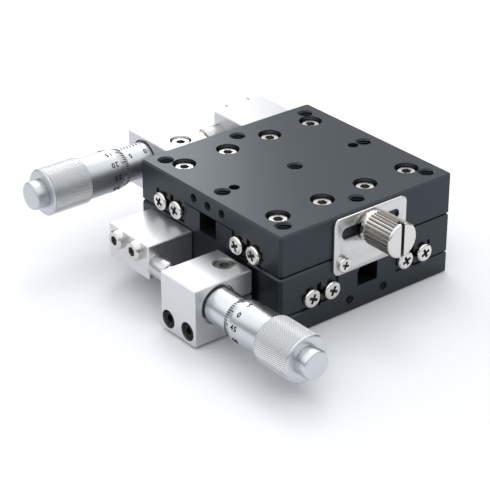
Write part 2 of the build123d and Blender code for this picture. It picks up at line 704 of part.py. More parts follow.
def lock_pieces():
    """Pieces of one lock in the upper frame."""
    return {
        "lock_plate": [lock_plate()],
        "lock_plate_screws": lock_plate_screws(),
        "lock_washer": [lock_washer()],
        "lock_knob": [lock_knob()],
    }


def build():
    nodes = {"base_plate": [base_plate()], "middle_plate": [middle_plate()], "top_plate": [top_plate()]}
    for name, shapes in guide_pieces().items():
        nodes["lower_" + name] = shapes
        nodes["upper_" + name] = [upper(shape) for shape in shapes]
    for name, shapes in lock_pieces().items():
        nodes["upper_" + name] = shapes
        nodes["lower_" + name] = [lower_lock(shape) for shape in shapes]
    return nodes


def main():
    os.makedirs("parts", exist_ok=True)
    print_spring_gap(spring_path())
    for name, shapes in build().items():
        solids = [solid for shape in shapes for solid in shape.solids()]
        export_step(Compound(children=solids), f"parts/{name}.step")


main()
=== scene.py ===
"""Looks for a two-axis microscope stage: its finishes, dials, knurled grips and the studio it stands in."""

import json
import logging
import math
from dataclasses import dataclass, field
from enum import Enum
from typing import Any

import bmesh
import bpy
from bmesh.types import BMesh, BMFace
from mathutils import Matrix, Vector

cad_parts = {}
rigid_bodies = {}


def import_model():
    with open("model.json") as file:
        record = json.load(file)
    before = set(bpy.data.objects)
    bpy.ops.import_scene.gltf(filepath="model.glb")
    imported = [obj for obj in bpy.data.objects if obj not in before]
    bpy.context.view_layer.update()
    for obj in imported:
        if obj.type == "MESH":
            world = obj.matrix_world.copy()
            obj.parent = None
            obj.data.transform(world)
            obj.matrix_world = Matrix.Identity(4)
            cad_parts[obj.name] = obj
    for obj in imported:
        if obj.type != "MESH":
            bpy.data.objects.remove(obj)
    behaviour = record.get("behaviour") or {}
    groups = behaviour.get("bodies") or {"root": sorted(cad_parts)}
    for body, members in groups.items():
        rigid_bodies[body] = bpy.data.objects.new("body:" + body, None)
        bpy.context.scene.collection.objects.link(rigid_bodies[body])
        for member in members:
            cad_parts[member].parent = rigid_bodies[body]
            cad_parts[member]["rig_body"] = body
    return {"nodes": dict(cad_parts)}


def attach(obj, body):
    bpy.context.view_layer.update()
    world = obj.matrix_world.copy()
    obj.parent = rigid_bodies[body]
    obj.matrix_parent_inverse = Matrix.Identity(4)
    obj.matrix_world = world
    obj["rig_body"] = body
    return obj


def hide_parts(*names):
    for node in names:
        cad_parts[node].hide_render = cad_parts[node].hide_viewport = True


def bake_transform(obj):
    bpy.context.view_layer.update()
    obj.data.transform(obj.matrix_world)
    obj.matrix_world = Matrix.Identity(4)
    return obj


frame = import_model()
log = logging.getLogger("stage")

MM = 0.001
LEVEL = 11.7 * MM           # the upper slide is this much above the lower
HEAD_PLACE = (-42.0, 0, 10.9)  # the lower micrometer's axis, mm
LOCK_HEIGHT = 24.6          # lock knob of the upper slide, mm
LOCK_STEP = 12.1            # the lower knob is this much below the upper, mm
SPRING_HEIGHT = 9.75        # centre of the lower slide's spring, mm
MERGE = 2e-7                # corners of the CAD mesh closer than this are one, m
SMOOTH_BELOW = math.radians(28)
EDGE_ABOVE = math.radians(40)
M4 = (2.0, 0.7)             # radius of the hole and pitch of the thread, mm
M3 = (1.25, 0.5)
Mesh, Object, Material = bpy.types.Mesh, bpy.types.Object, bpy.types.Material
Node, NodeSocket = bpy.types.Node, bpy.types.NodeSocket
Color = tuple[float, float, float]
Outline = list[tuple[float, float]]
Points = list[tuple[float, float, float]]


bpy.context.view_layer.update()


class Axis(Enum):
    """The two slides. The upper one carries the same pieces, turned and lifted by one level."""

    LOWER = "lower"
    UPPER = "upper"

    @property
    def place(self) -> Matrix:
        """Takes millimetres in the lower slide's frame to metres in the row frame."""
        scale = Matrix.Scale(MM, 4)
        if self is Axis.LOWER:
            return scale
        return Matrix.Translation((0, 0, LEVEL)) @ Matrix.Rotation(math.radians(-90), 4, "Z") @ scale

    @property
    def head(self) -> Matrix:
        """Takes a shape turned about Y, in mm, to the micrometer's place."""
        return self.place @ Matrix.Translation(HEAD_PLACE)

    @property
    def lock(self) -> Matrix:
        """Takes a shape turned about Y, in mm, to the lock knob's place."""
        scale, knob = Matrix.Scale(MM, 4), Matrix.Translation((0, 0, LOCK_HEIGHT))
        if self is Axis.UPPER:
            return scale @ knob
        return scale @ Matrix.Rotation(math.radians(90), 4, "Z") @ Matrix.Translation((0, 0, -LOCK_STEP)) @ knob

    @property
    def carrier(self) -> str:
        """The body that the micrometer's sleeve is fixed to."""
        return "base" if self is Axis.LOWER else "middle"

    @property
    def carriage(self) -> str:
        """The body that slides."""
        return "middle" if self is Axis.LOWER else "top"

    def node(self, piece: str) -> str:
        """Name of this slide's CAD node of a piece."""
        return f"{self.value}_{piece}"


# ---------------------------------------------------------------- node trees
class Field:
    """A value socket that takes Python's arithmetic and adds Math nodes for it."""

    def __init__(self, graph: "Graph", socket: NodeSocket) -> None:
        """Keeps the tree and the socket that carries the value."""
        self.graph = graph
        self.socket = socket

    def __add__(self, other: Any) -> "Field":
        """Sum."""
        return self.graph.math("ADD", self, other)

    def __sub__(self, other: Any) -> "Field":
        """Difference."""
        return self.graph.math("SUBTRACT", self, other)

    def __rsub__(self, other: Any) -> "Field":
        """Difference from a number."""
        return self.graph.math("SUBTRACT", other, self)

    def __mul__(self, other: Any) -> "Field":
        """Product."""
        return self.graph.math("MULTIPLY", self, other)

    def __truediv__(self, other: Any) -> "Field":
        """Quotient."""
        return self.graph.math("DIVIDE", self, other)

    def __mod__(self, other: Any) -> "Field":
        """Remainder, never negative."""
        return self.graph.math("FLOORED_MODULO", self, other)

    __radd__ = __add__


class Graph:
    """A node tree under construction, for a material, the world or a mesh pattern."""

    def __init__(self, tree: bpy.types.NodeTree) -> None:
        """Works on an existing tree."""
        self.tree = tree

    def node(self, kind: str, settings: dict[str, Any] | None = None, **inputs: Any) -> Node:
        """Adds a node.

        Args:
            kind: Blender's node type.
            settings: Properties that are set first.
            **inputs: Values, fields or sockets by input name, with underscores for spaces.

        Returns:
            The new node.
        """
        made = self.tree.nodes.new(kind)
        for key, value in (settings or {}).items():
            setattr(made, key, value)
        for key, value in inputs.items():
            self.feed(made.inputs[key.replace("_", " ")], value)
        return made

    def feed(self, socket: NodeSocket, value: Any) -> None:
        """Links a field or socket to an input, or sets the input's own value."""
        source = value.socket if isinstance(value, Field) else value
        if isinstance(source, NodeSocket):
            self.tree.links.new(source, socket)
        else:
            socket.default_value = source

    def math(self, operation: str, *values: Any) -> Field:
        """Adds a Math node.

        Args:
            operation: The Math node's operation.
            *values: Its inputs, as fields or numbers.

        Returns:
            The result as a field.
        """
        made = self.node("ShaderNodeMath", {"operation": operation})
        for socket, value in zip(made.inputs, values):
            self.feed(socket, value)
        return Field(self, made.outputs[0])

    def out(self, node: Node, name: str) -> Field:
        """A node's output as a field."""
        return Field(self, node.outputs[name])


# ---------------------------------------------------------------- finishes
class Lay(Enum):
    """Direction of the fine lines that machining or brushing leaves."""

    NONE = (1.0, 1.0, 1.0)
    ROUND_Y = (0.05, 1.0, 0.05)
    ROUND_X = (1.0, 0.05, 0.05)
    ALONG_X = (0.04, 1.0, 1.0)
    ALONG_Y = (1.0, 0.04, 1.0)
    ALONG_Z = (1.0, 1.0, 0.04)


MOTTLE = 70.0               # broad patches of tone to a metre
RELIEF_DEPTH = 0.00005      # height of the fine lines at full relief, m


@dataclass(frozen=True)
class Finish:
    """A metal or coated surface with mottle, a lay of fine lines and a little unevenness in its gloss.

    Its slot is the record's material slot of the pieces that have it.
    """

    name: str
    slot: str
    color: Color
    metallic: float
    roughness: float
    lay: Lay = Lay.NONE
    grain: float = 2600.0
    relief: float = 0.15
    tone: float = 0.06
    gloss_spread: float = 0.08
    specular: float = 0.5

    def material(self) -> Material:
        """The finish as a material, made once.

        Returns:
            The material of this name.
        """
        found = bpy.data.materials.get(self.name)
        if found:
            return found
        made = bpy.data.materials.new(self.name)
        made.use_nodes = True
        made.node_tree.nodes.clear()
        graph = Graph(made.node_tree)
        place = graph.out(graph.node("ShaderNodeTexCoord"), "Object")
        lines = graph.node("ShaderNodeMapping", None, Vector=place, Scale=self.lay.value)
        fine = self.noise(graph, graph.out(lines, "Vector"), self.grain, 3.0)
        broad = self.noise(graph, place, MOTTLE, 2.0)
        surface = graph.node(
            "ShaderNodeBsdfPrincipled", None, Metallic=self.metallic, Specular_IOR_Level=self.specular
        )
        shade = broad * 0.6 + fine * 0.4
        mix = graph.node("ShaderNodeMix", {"data_type": "RGBA"})
        graph.feed(mix.inputs[0], shade)
        graph.feed(mix.inputs[6], self.tint(1 - self.tone))
        graph.feed(mix.inputs[7], self.tint(1 + self.tone))
        graph.feed(surface.inputs["Base Color"], mix.outputs[2])
        graph.feed(surface.inputs["Roughness"], self.roughness + (shade - 0.5) * self.gloss_spread)
        bump = graph.node("ShaderNodeBump", None, Strength=self.relief, Distance=RELIEF_DEPTH, Height=fine)
        graph.feed(surface.inputs["Normal"], bump.outputs[0])
        graph.node("ShaderNodeOutputMaterial", None, Surface=surface.outputs[0])
        return made

    def tint(self, amount: float) -> tuple[float, float, float, float]:
        """The colour, lighter or darker."""
        red, green, blue = (min(1.0, part * amount) for part in self.color)
        return (red, green, blue, 1.0)

    @staticmethod
    def noise(graph: Graph, place: Field, scale: float, detail: float) -> Field:
        """A noise field in space.

        Args:
            graph: The material's tree.
            place: Where it is read.
            scale: Features to a metre.
            detail: Octaves.

        Returns:
            The noise, from 0 to 1.
        """
        made = graph.node("ShaderNodeTexNoise", None, Vector=place, Scale=scale, Detail=detail)
        return Field(graph, made.outputs[0])


BLACK_ANODISED = Finish(
    "black_anodised", "black_anodised", (0.011, 0.0125, 0.0150), 0.0, 0.34,
    relief=0.06, tone=0.08, gloss_spread=0.05, specular=0.20,
)
# One anodised aluminium in two tones: the upper slide's copy is darker as painted shade, the lower's lighter as
# painted light.
ANODISED_LIT_AND_SHADED = {
    Axis.LOWER: Finish(
        "clear_anodised_lower_painted_light", "clear_anodised", (0.66, 0.67, 0.68), 0.96, 0.36, Lay.ALONG_X, 5200.0, 0.22, 0.07
    ),
    Axis.UPPER: Finish(
        "clear_anodised_upper_painted_shade", "clear_anodised", (0.55, 0.56, 0.57), 0.96, 0.36, Lay.ALONG_Y, 5200.0, 0.22, 0.07
    ),
}
# The rails are steel; their near-black, non-metallic colour is painted shade.
RAIL_PAINTED_SHADE = Finish(
    "rail_steel_painted_shade", "rail_steel", (0.014, 0.014, 0.015), 0.0, 0.30, Lay.ALONG_Z, relief=0.12, specular=0.4
)
LAPPED_STEEL = Finish("lapped_steel", "bearing_steel", (0.54, 0.54, 0.55), 1.0, 0.28, relief=0.03)
CAGE_SHEET = Finish("cage_sheet", "cage_sheet", (0.66, 0.50, 0.24), 1.0, 0.35)
STAINLESS = Finish(
    "stainless_screw", "stainless_screws", (0.62, 0.61, 0.585), 1.0, 0.24, relief=0.05, tone=0.03
)
NICKEL = Finish(
    "nickel_plate", "nickel_screws", (0.72, 0.71, 0.69), 1.0, 0.17, relief=0.03, tone=0.03, gloss_spread=0.05
)
# Painted shade: a dark copy of the screw metal laid in driver recesses and the knob's slot, where shade falls.
RECESS_SHADE = Finish("driver_recess_painted_shade", "stainless_screws", (0.24, 0.23, 0.205), 0.9, 0.38, relief=0.10)
BLACK_OXIDE = Finish(
    "black_oxide", "black_oxide_screws", (0.006, 0.006, 0.007), 0.0, 0.55, relief=0.05, specular=0.15
)
SPRING_WIRE = Finish("spring_wire", "spring_wire", (0.50, 0.50, 0.51), 1.0, 0.30)
NUT_BRASS = Finish("nut_brass", "nut_brass", (0.70, 0.52, 0.25), 1.0, 0.30)
BRUSHED_PLATE = Finish(
    "brushed_lock_plate", "lock_stainless", (0.64, 0.63, 0.62), 1.0, 0.32, Lay.ALONG_Z, 4200.0, 0.12, 0.03, 0.05
)
KNOB_STEEL = Finish(
    "knob_steel", "knob_nickel", (0.66, 0.65, 0.635), 1.0, 0.22, relief=0.03, tone=0.02, gloss_spread=0.04
)
# One satin chrome in two tones: the upper head's copy is darker as painted shade, the lower's lighter as painted
# light.
CHROME_LIT_AND_SHADED = {
    Axis.LOWER: Finish(
        "satin_chrome_lower_painted_light", "satin_chrome", (0.60, 0.62, 0.64), 1.0, 0.28, Lay.ROUND_Y, 5000.0, 0.02, 0.015, 0.03
    ),
    Axis.UPPER: Finish(
        "satin_chrome_upper_painted_shade", "satin_chrome", (0.53, 0.55, 0.57), 1.0, 0.40, Lay.ROUND_X, 5000.0, 0.02, 0.015, 0.03
    ),
}
# Lit and shaded copies of the satin chrome on the knurl: the tips lighter as painted highlight, the root between
# them darker as painted shade.
KNURL_TIP_LIT = Finish("knurl_tip_painted_highlight", "satin_chrome", (0.70, 0.71, 0.72), 1.0, 0.32, relief=0.0, tone=0.02)
KNURL_ROOT_SHADE = Finish("knurl_root_painted_shade", "satin_chrome", (0.36, 0.37, 0.38), 1.0, 0.45, relief=0.0)
INK = Finish(
    "scale_ink", "satin_chrome", (0.014, 0.014, 0.016), 0.0, 0.6, relief=0.0, tone=0.2, specular=0.05
)


# ---------------------------------------------------------------- meshes
def linked(name: str, data: Any) -> Object:
    """A new object in the scene, for a mesh, a text, a lamp or a camera."""
    made = bpy.data.objects.new(name, data)
    bpy.context.scene.collection.objects.link(made)
    return made


def taken_out(piece: Object) -> Mesh:
    """Plain mesh of an object with its modifiers run; the object goes."""
    bpy.context.view_layer.update()
    mesh = bpy.data.meshes.new_from_object(piece.evaluated_get(bpy.context.evaluated_depsgraph_get()))
    piece.modifiers.clear()
    bpy.data.objects.remove(piece)
    return mesh


def keep_piece(name: str, mesh: Mesh, body: str) -> Object:
    """Links a finished mesh and makes it ride on a body.

    Args:
        name: The piece's name.
        mesh: Its mesh, already in the row frame.
        body: The CAD body it moves with.

    Returns:
        The piece.
    """
    piece = linked(name, mesh)
    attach(piece, body)
    log.info("%s rides on %s with %d faces", name, body, len(mesh.polygons))
    return piece


def soft_shading(shape: BMesh, mesh: Mesh) -> None:
    """Shades a mesh smooth where it is round and writes it back.

    Args:
        shape: The working copy, which is freed.
        mesh: The mesh that takes it.
    """
    for edge in shape.edges:
        edge.smooth = len(edge.link_faces) == 2 and edge.calc_face_angle(0) < SMOOTH_BELOW
    for face in shape.faces:
        face.smooth = True
    shape.to_mesh(mesh)
    shape.free()


def islands(shape: BMesh) -> list[list[BMFace]]:
    """Faces of each separate shell of a mesh."""
    left, found = set(shape.faces), []
    while left:
        group, edge_of = [], [left.pop()]
        while edge_of:
            face = edge_of.pop()
            group.append(face)
            near = {other for edge in face.edges for other in edge.link_faces} & left
            left -= near
            edge_of.extend(near)
        found.append(group)
    return found


# The driver recess that these find in each screw head takes painted shade.
HEAD_RIM = 0.98             # share of a screw head's radius that only its side reaches
RECESS_REACH = 0.7          # share of the radius that the driver recess stays within
RECESS_DEPTH = 0.04 * MM    # faces deeper than this under the head's top are in the recess


def mark_recesses(shape: BMesh) -> None:
    """Gives the driver recess in each screw's head the mesh's second material, which is painted shade unless it is
    the head's own black oxide.
    """
    for group in islands(shape):
        points = [vert.co for vert in {vert for face in group for vert in face.verts}]
        spans = [(max(p[i] for p in points) - min(p[i] for p in points), i) for i in range(3)]
        axis = max(spans)[1]
        across = [i for i in range(3) if i != axis]
        middle = [(max(p[i] for p in points) + min(p[i] for p in points)) / 2 for i in range(3)]

        def reach(point: Vector) -> float:
            """Distance from the screw's axis."""
            return math.hypot(*(point[i] - middle[i] for i in across))

        head = max(reach(p) for p in points)
        wide = [p[axis] for p in points if reach(p) > head * HEAD_RIM]
        ends = (min(p[axis] for p in points), max(p[axis] for p in points))
        low_side = min(wide) - ends[0] < ends[1] - max(wide)
        top = ends[0] if low_side else ends[1]
        for face in group:
            center = face.calc_center_median()
            if reach(center) < head * RECESS_REACH and abs(center[axis] - top) > RECESS_DEPTH:
                face.material_index = 1


def rounded_mesh(node: str, finish: Finish, recess: Finish | None = None, edge: float = 0.0) -> Mesh:
    """Merged copy of a CAD node's mesh, shaded smooth where it is round.

    Args:
        node: The CAD node.
        finish: Its finish.
        recess: The finish inside the heads, where the node is screws.
        edge: Width of a broken edge to add, mm.

    Returns:
        The mesh, in the row frame.
    """
    source = frame["nodes"][node]
    mesh = source.data.copy()
    shape = bmesh.new()
    shape.from_mesh(mesh)
    bmesh.ops.remove_doubles(shape, verts=shape.verts, dist=MERGE)
    mesh.materials.clear()
    mesh.materials.append(finish.material())
    if edge:
        bmesh.ops.dissolve_limit(shape, angle_limit=math.radians(1), verts=shape.verts, edges=shape.edges)
        sharp = [one for one in shape.edges if one.calc_face_angle(0) > EDGE_ABOVE]
        bmesh.ops.bevel(
            shape, geom=sharp, offset=edge * MM, segments=2, profile=0.5, affect="EDGES", clamp_overlap=True
        )
    if recess:
        mesh.materials.append(recess.material())
        mark_recesses(shape)
    soft_shading(shape, mesh)
    if mesh.has_custom_normals:
        mesh.normals_split_custom_set([(0, 0, 0)] * len(mesh.loops))
    return mesh


def rounded_copy(node: str, finish: Finish, recess: Finish | None = None, edge: float = 0.0) -> None:
    """Replaces a CAD node by a merged copy of itself, shaded smooth where it is round.

    Args:
        node: The CAD node.
        finish: Its finish.
        recess: The finish inside the heads, where the node is screws.
        edge: Width of a broken edge to add, mm.
    """
    stand_in(node, rounded_mesh(node, finish, recess, edge))


def stand_in(node: str, mesh: Mesh) -> None:
    """Shows a mesh in place of a CAD node.

    Args:
        node: The CAD node.
        mesh: The finished mesh, in the row frame.
    """
    piece = keep_piece(node + "_shown", mesh, frame["nodes"][node]["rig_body"])
    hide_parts(node)


def softened(points: Outline, reach: float) -> Outline:
    """Rounds the corners of a closed outline of (radius, y) points, but not those on the axis.

    Args:
        points: The outline.
        reach: How far from a corner the rounding starts, mm.

    Returns:
        The outline with three points at each corner.
    """
    result: Outline = []
    for index, corner in enumerate(points):
        here = Vector(corner)
        before, after = Vector(points[index - 1]) - here, Vector(points[(index + 1) % len(points)]) - here
        if here.x < 1e-6:
            result.append(corner)
            continue
        first = here + before.normalized() * min(reach, before.length / 2.5)
        last = here + after.normalized() * min(reach, after.length / 2.5)
        middle = (first + last) * 0.25 + here * 0.5
        result += [tuple(first), tuple(middle), tuple(last)]
    return result


def turned(points: Outline, place: Matrix, finish: Finish, segments: int = 96) -> Mesh:
    """Turns a closed outline about the Y axis.

    Args:
        points: (radius, y) points of the outline, mm.
        place: Takes the result to the row frame.
        finish: Its finish.
        segments: Steps round the axis.

    Returns:
        The closed mesh.
    """
    shape = bmesh.new()
    rings = []
    for radius, y in points:
        if radius < 1e-6:
            rings.append([shape.verts.new((0, y, 0))] * segments)
            continue
        angles = (2 * math.pi * i / segments for i in range(segments))
        rings.append([shape.verts.new((radius * math.sin(a), y, radius * math.cos(a))) for a in angles])
    for ring, nearby in zip(rings, rings[1:] + rings[:1]):
        for i in range(segments):
            j = (i + 1) % segments
            corners_of = list(dict.fromkeys((ring[i], ring[j], nearby[j], nearby[i])))
            if len(corners_of) > 2:
                shape.faces.new(corners_of)
    bmesh.ops.recalc_face_normals(shape, faces=shape.faces)
    shape.transform(place)
    mesh = bpy.data.meshes.new("turned")
    soft_shading(shape, mesh)
    mesh.materials.append(finish.material())
    return mesh


# ---------------------------------------------------------------- patterns
MARK_THICKNESS = 0.07       # engraved marks stand this thick, mm
PYRAMID = (0.14, 0.46)      # radius of a knurl pyramid's top and foot, in pitches
THREAD_DEPTH = 0.05         # the thread's core line lies this far inside the hole's wall, mm
THREAD_CREST = 0.48         # radius of the thread's ridge, in pitches
FONT_SIZE = 1.38            # font size that gives a digit of height 1
FONT_SPACE = 1.22
FONT_THICKNESS = 0.03       # half thickness of a digit, mm
FONT_WEIGHT = 0.035         # a digit's strokes are this much wider on each side, mm


class Pattern(Graph):
    """A Geometry Nodes tree with named sizes, which is run once and left as a plain mesh."""

    def __init__(self, name: str, **sizes: float) -> None:
        """Makes the tree and its inputs.

        Args:
            name: The tree's name.
            **sizes: Named sizes and their values; whole numbers become counts.
        """
        tree = bpy.data.node_groups.new(name, "GeometryNodeTree")
        super().__init__(tree)
        tree.interface.new_socket("Geometry", in_out="INPUT", socket_type="NodeSocketGeometry")
        tree.interface.new_socket("Geometry", in_out="OUTPUT", socket_type="NodeSocketGeometry")
        self.sizes = sizes
        self.keys: dict[str, str] = {}
        for size, value in sizes.items():
            kind = "NodeSocketInt" if isinstance(value, int) else "NodeSocketFloat"
            socket = tree.interface.new_socket(size, in_out="INPUT", socket_type=kind)
            self.keys[size] = socket.identifier
        self.entry = tree.nodes.new("NodeGroupInput")
        self.exit = tree.nodes.new("NodeGroupOutput")

    def __getitem__(self, name: str) -> Field:
        """A named size as a field."""
        return Field(self, self.entry.outputs[name])

    def vector(self, *parts: Any) -> NodeSocket:
        """A vector from up to three numbers or fields."""
        made = self.node("ShaderNodeCombineXYZ")
        for socket, part in zip(made.inputs, parts):
            self.feed(socket, part)
        return made.outputs[0]

    def place(self) -> Node:
        """Each point's own place, split in three."""
        split = self.node("ShaderNodeSeparateXYZ")
        self.feed(split.inputs[0], self.node("GeometryNodeInputPosition").outputs[0])
        return split

    def row(self, step: NodeSocket) -> NodeSocket:
        """A row of as many points as the size Count says, one step apart."""
        made = self.node("GeometryNodeMeshLine", {"mode": "OFFSET"}, Count=self["Count"])
        self.feed(made.inputs["Offset"], step)
        return made.outputs[0]

    def stand_on(self, points: NodeSocket, shape: Node, **turns: Any) -> NodeSocket:
        """Stands a shape on each point.

        Args:
            points: The points.
            shape: The node that makes the shape.
            **turns: Rotation and Scale of the shapes.

        Returns:
            The shapes as instances.
        """
        made = self.node("GeometryNodeInstanceOnPoints", None, Points=points, Instance=shape.outputs[0], **turns)
        return made.outputs[0]

    def close(self, geometry: NodeSocket, finish: Finish) -> None:
        """Ends the tree in real meshes of one finish."""
        real = self.node("GeometryNodeRealizeInstances", None, Geometry=geometry)
        painted = self.node("GeometryNodeSetMaterial", None, Geometry=real.outputs[0])
        painted.inputs["Material"].default_value = finish.material()
        self.tree.links.new(painted.outputs[0], self.exit.inputs[0])

    def add_to(self, piece: Object) -> None:
        """Adds the tree to a piece as a modifier and sets its sizes."""
        modifier = piece.modifiers.new(self.tree.name, "NODES")
        modifier.node_group = self.tree
        for size, value in self.sizes.items():
            modifier[self.keys[size]] = value


def run_patterns(name: str, source: Mesh, patterns: list[Pattern], place: Matrix) -> Mesh:
    """Runs patterns one after the other and keeps the plain result.

    Args:
        name: The result's name.
        source: The mesh that the first pattern starts from.
        patterns: The patterns in order.
        place: Takes the result to the row frame.

    Returns:
        The mesh, in metres.
    """
    piece = linked(name + "_pattern", source)
    for pattern in patterns:
        pattern.add_to(piece)
    mesh = taken_out(piece)
    mesh.transform(place)
    mesh.name = name
    return mesh


def empty_mesh() -> Mesh:
    """A mesh with nothing in it, for patterns that make their own geometry."""
    return bpy.data.meshes.new("start")


def wrap(finish: Finish, radius: float, start: float = 0.0, slope: float = 0.0, turn: float = 0.0) -> Pattern:
    """Rolls a flat pattern round the Y axis.

    The pattern's x runs round the surface, its y along the axis and its z outwards.

    Args:
        finish: The result's finish.
        radius: Radius of the turned surface at start, mm.
        start: Place along the axis where the radius holds, mm.
        slope: Growth of the radius for each mm towards the thimble's end.
        turn: Angle of x = 0 from the top, degrees.

    Returns:
        The pattern.
    """
    pattern = Pattern("wrap", Radius=radius, Start=start, Slope=slope, Turn=math.radians(turn))
    split = pattern.place()
    along = pattern.out(split, "Y")
    angle = pattern["Turn"] + pattern.out(split, "X") / pattern["Radius"]
    reach = pattern["Radius"] + pattern["Slope"] * (pattern["Start"] - along)
    reach = reach + pattern.out(split, "Z")
    across = reach * pattern.math("SINE", angle)
    height = reach * pattern.math("COSINE", angle)
    moved = pattern.node(
        "GeometryNodeSetPosition", None, Geometry=pattern.entry.outputs["Geometry"],
        Position=pattern.vector(across, along, height),
    )
    pattern.close(moved.outputs[0], finish)
    return pattern


def marks(
    count: int, step: tuple[float, float], width: float, short: float, long: float, every: int, turn: float,
    both_ways: bool = False,
) -> Pattern:
    """A row of engraved marks on a flat pattern.

    Args:
        count: Number of marks.
        step: From one mark to the next, along x and y, mm.
        width: Width of a line, mm.
        short: Length of a plain mark, mm.
        long: Length of every so many-th mark, mm.
        every: How often a long mark comes.
        turn: Direction of the marks from +y, degrees.
        both_ways: Whether every second mark points the other way.

    Returns:
        The pattern.
    """
    pattern = Pattern(
        "marks", Count=count, Step_X=step[0], Step_Y=step[1], Width=width, Short=short, Long=long, Every=every,
        Turn=math.radians(turn), Swing=math.pi if both_ways else 0.0,
    )
    row = pattern.row(pattern.vector(pattern["Step_X"], pattern["Step_Y"], 0.0))
    bar = pattern.node("GeometryNodeMeshCube", None, Vertices_X=2, Vertices_Y=8, Vertices_Z=2)
    bar.inputs["Size"].default_value = (1.0, 1.0, MARK_THICKNESS)
    based = pattern.node("GeometryNodeTransform", None, Geometry=bar.outputs[0])
    based.inputs["Translation"].default_value = (0.0, 0.5, 0.0)
    index = Field(pattern, pattern.node("GeometryNodeInputIndex").outputs[0])
    is_long = pattern.math("COMPARE", index % pattern["Every"], 0.0, 0.25)
    length = pattern["Short"] + (pattern["Long"] - pattern["Short"]) * is_long
    angle = pattern["Turn"] + pattern["Swing"] * (index % 2.0)
    turns = {
        "Rotation": pattern.vector(0.0, 0.0, angle),
        "Scale": pattern.vector(pattern["Width"], length, 1.0),
    }
    pattern.close(pattern.stand_on(row, based, **turns), INK)
    return pattern


def diamonds(round_count: int, rows: int, pitch: tuple[float, float], height: float, finish: Finish) -> Pattern:
    """A field of small pyramids, every second row shifted by half a pitch.

    Args:
        round_count: Pyramids in a row, round the grip.
        rows: Rows along the grip.
        pitch: Width and length of a pyramid, mm.
        height: Height of a pyramid, mm.
        finish: Their finish.

    Returns:
        The pattern.
    """
    pattern = Pattern("diamonds", Round=round_count, Rows=rows, Pitch_X=pitch[0], Pitch_Y=pitch[1], Height=height)
    half_row = pattern["Pitch_Y"] / 2
    grid = pattern.node(
        "GeometryNodeMeshGrid", None, Vertices_X=pattern["Round"], Vertices_Y=pattern["Rows"],
        Size_X=(pattern["Round"] - 1) * pattern["Pitch_X"], Size_Y=(pattern["Rows"] - 1) * half_row,
    )
    split = pattern.place()
    row = pattern.math("ROUND", pattern.out(split, "Y") / half_row + (pattern["Rows"] - 1) / 2)
    shift = (row % 2.0) * pattern["Pitch_X"] / 2
    shifted = pattern.node(
        "GeometryNodeSetPosition", None, Geometry=grid.outputs[0], Offset=pattern.vector(shift, 0.0, 0.0)
    )
    top, foot = PYRAMID
    pyramid = pattern.node("GeometryNodeMeshCone", None, Vertices=4, Radius_Top=top, Radius_Bottom=foot, Depth=1.0)
    size = pattern.vector(pattern["Pitch_X"], pattern["Pitch_Y"], pattern["Height"])
    pattern.close(pattern.stand_on(shifted.outputs[0], pyramid, Scale=size), finish)
    return pattern


def ridges(count: int, pitch: float, radius: float, length: float, finish: Finish) -> Pattern:
    """A flat row of half-sunk round bars that lie along y.

    Args:
        count: Number of bars.
        pitch: From one bar to the next along x, mm.
        radius: Radius of a bar, mm.
        length: Length of a bar, mm.
        finish: Their finish.

    Returns:
        The pattern.
    """
    pattern = Pattern("ridges", Count=count, Pitch=pitch, Radius=radius, Length=length)
    row = pattern.row(pattern.vector(pattern["Pitch"], 0.0, 0.0))
    bar = pattern.node(
        "GeometryNodeMeshCylinder", None, Vertices=10, Radius=pattern["Radius"], Depth=pattern["Length"]
    )
    pattern.close(pattern.stand_on(row, bar, Rotation=(math.pi / 2, 0.0, 0.0)), finish)
    return pattern


def threads(size: tuple[float, float], turns: int, finish: Finish) -> Pattern:
    """A screw thread inside each hole whose centre is a vertex of the piece.

    Args:
        size: Radius of the hole and rise of a turn, mm.
        turns: Number of turns, down from the vertex.
        finish: The finish of the threads.

    Returns:
        The pattern.
    """
    pattern = Pattern("threads", Radius=size[0], Pitch=size[1], Turns=turns)
    inner = pattern["Radius"] - THREAD_DEPTH
    depth = pattern["Turns"] * pattern["Pitch"]
    spiral = pattern.node(
        "GeometryNodeCurveSpiral", None, Resolution=20, Rotations=pattern["Turns"],
        Start_Radius=inner, End_Radius=inner, Height=depth,
    )
    crest = pattern.node("GeometryNodeCurvePrimitiveCircle", {"mode": "RADIUS"}, Resolution=3)
    pattern.feed(crest.inputs["Radius"], pattern["Pitch"] * THREAD_CREST)
    wound = pattern.node("GeometryNodeCurveToMesh", None, Curve=spiral.outputs[0], Profile_Curve=crest.outputs[0])
    wound.inputs["Fill Caps"].default_value = True
    sunk = pattern.node("GeometryNodeTransform", None, Geometry=wound.outputs[0])
    pattern.feed(sunk.inputs["Translation"], pattern.vector(0.0, 0.0, 0 - depth))
    pattern.close(pattern.stand_on(pattern.entry.outputs["Geometry"], sunk), finish)
    return pattern


def points_mesh(places: Points) -> Mesh:
    """A mesh of loose vertices, for patterns that stand a shape on each."""
    mesh = bpy.data.meshes.new("places")
    mesh.from_pydata(places, [], [])
    return mesh


def number_mesh(texts: list[tuple[str, float, float]], height: float, lift: float) -> Mesh:
    """Flat numbers whose feet point to -x and which read towards -y.

    Args:
        texts: Each number with its place in x and y, mm.
        height: Height of a digit, mm.
        lift: How far the middle of a digit stands off the surface, mm.

    Returns:
        One mesh of all the numbers, a hair thick.
    """
    joined = bmesh.new()
    for text, x, y in texts:
        curve = bpy.data.curves.new("number", "FONT")
        curve.body, curve.size, curve.space_character = text, height * FONT_SIZE, FONT_SPACE
        curve.extrude, curve.offset, curve.resolution_u = FONT_THICKNESS, FONT_WEIGHT, 3
        curve.align_x, curve.align_y = "CENTER", "CENTER"
        mesh = taken_out(linked("number", curve))
        mesh.transform(Matrix.Translation((x, y, lift)) @ Matrix.Rotation(math.radians(-90), 4, "Z"))
        joined.from_mesh(mesh)
    result = bpy.data.meshes.new("numbers")
    joined.to_mesh(result)
    joined.free()
    result.materials.clear()
    result.materials.append(INK.material())
    return result


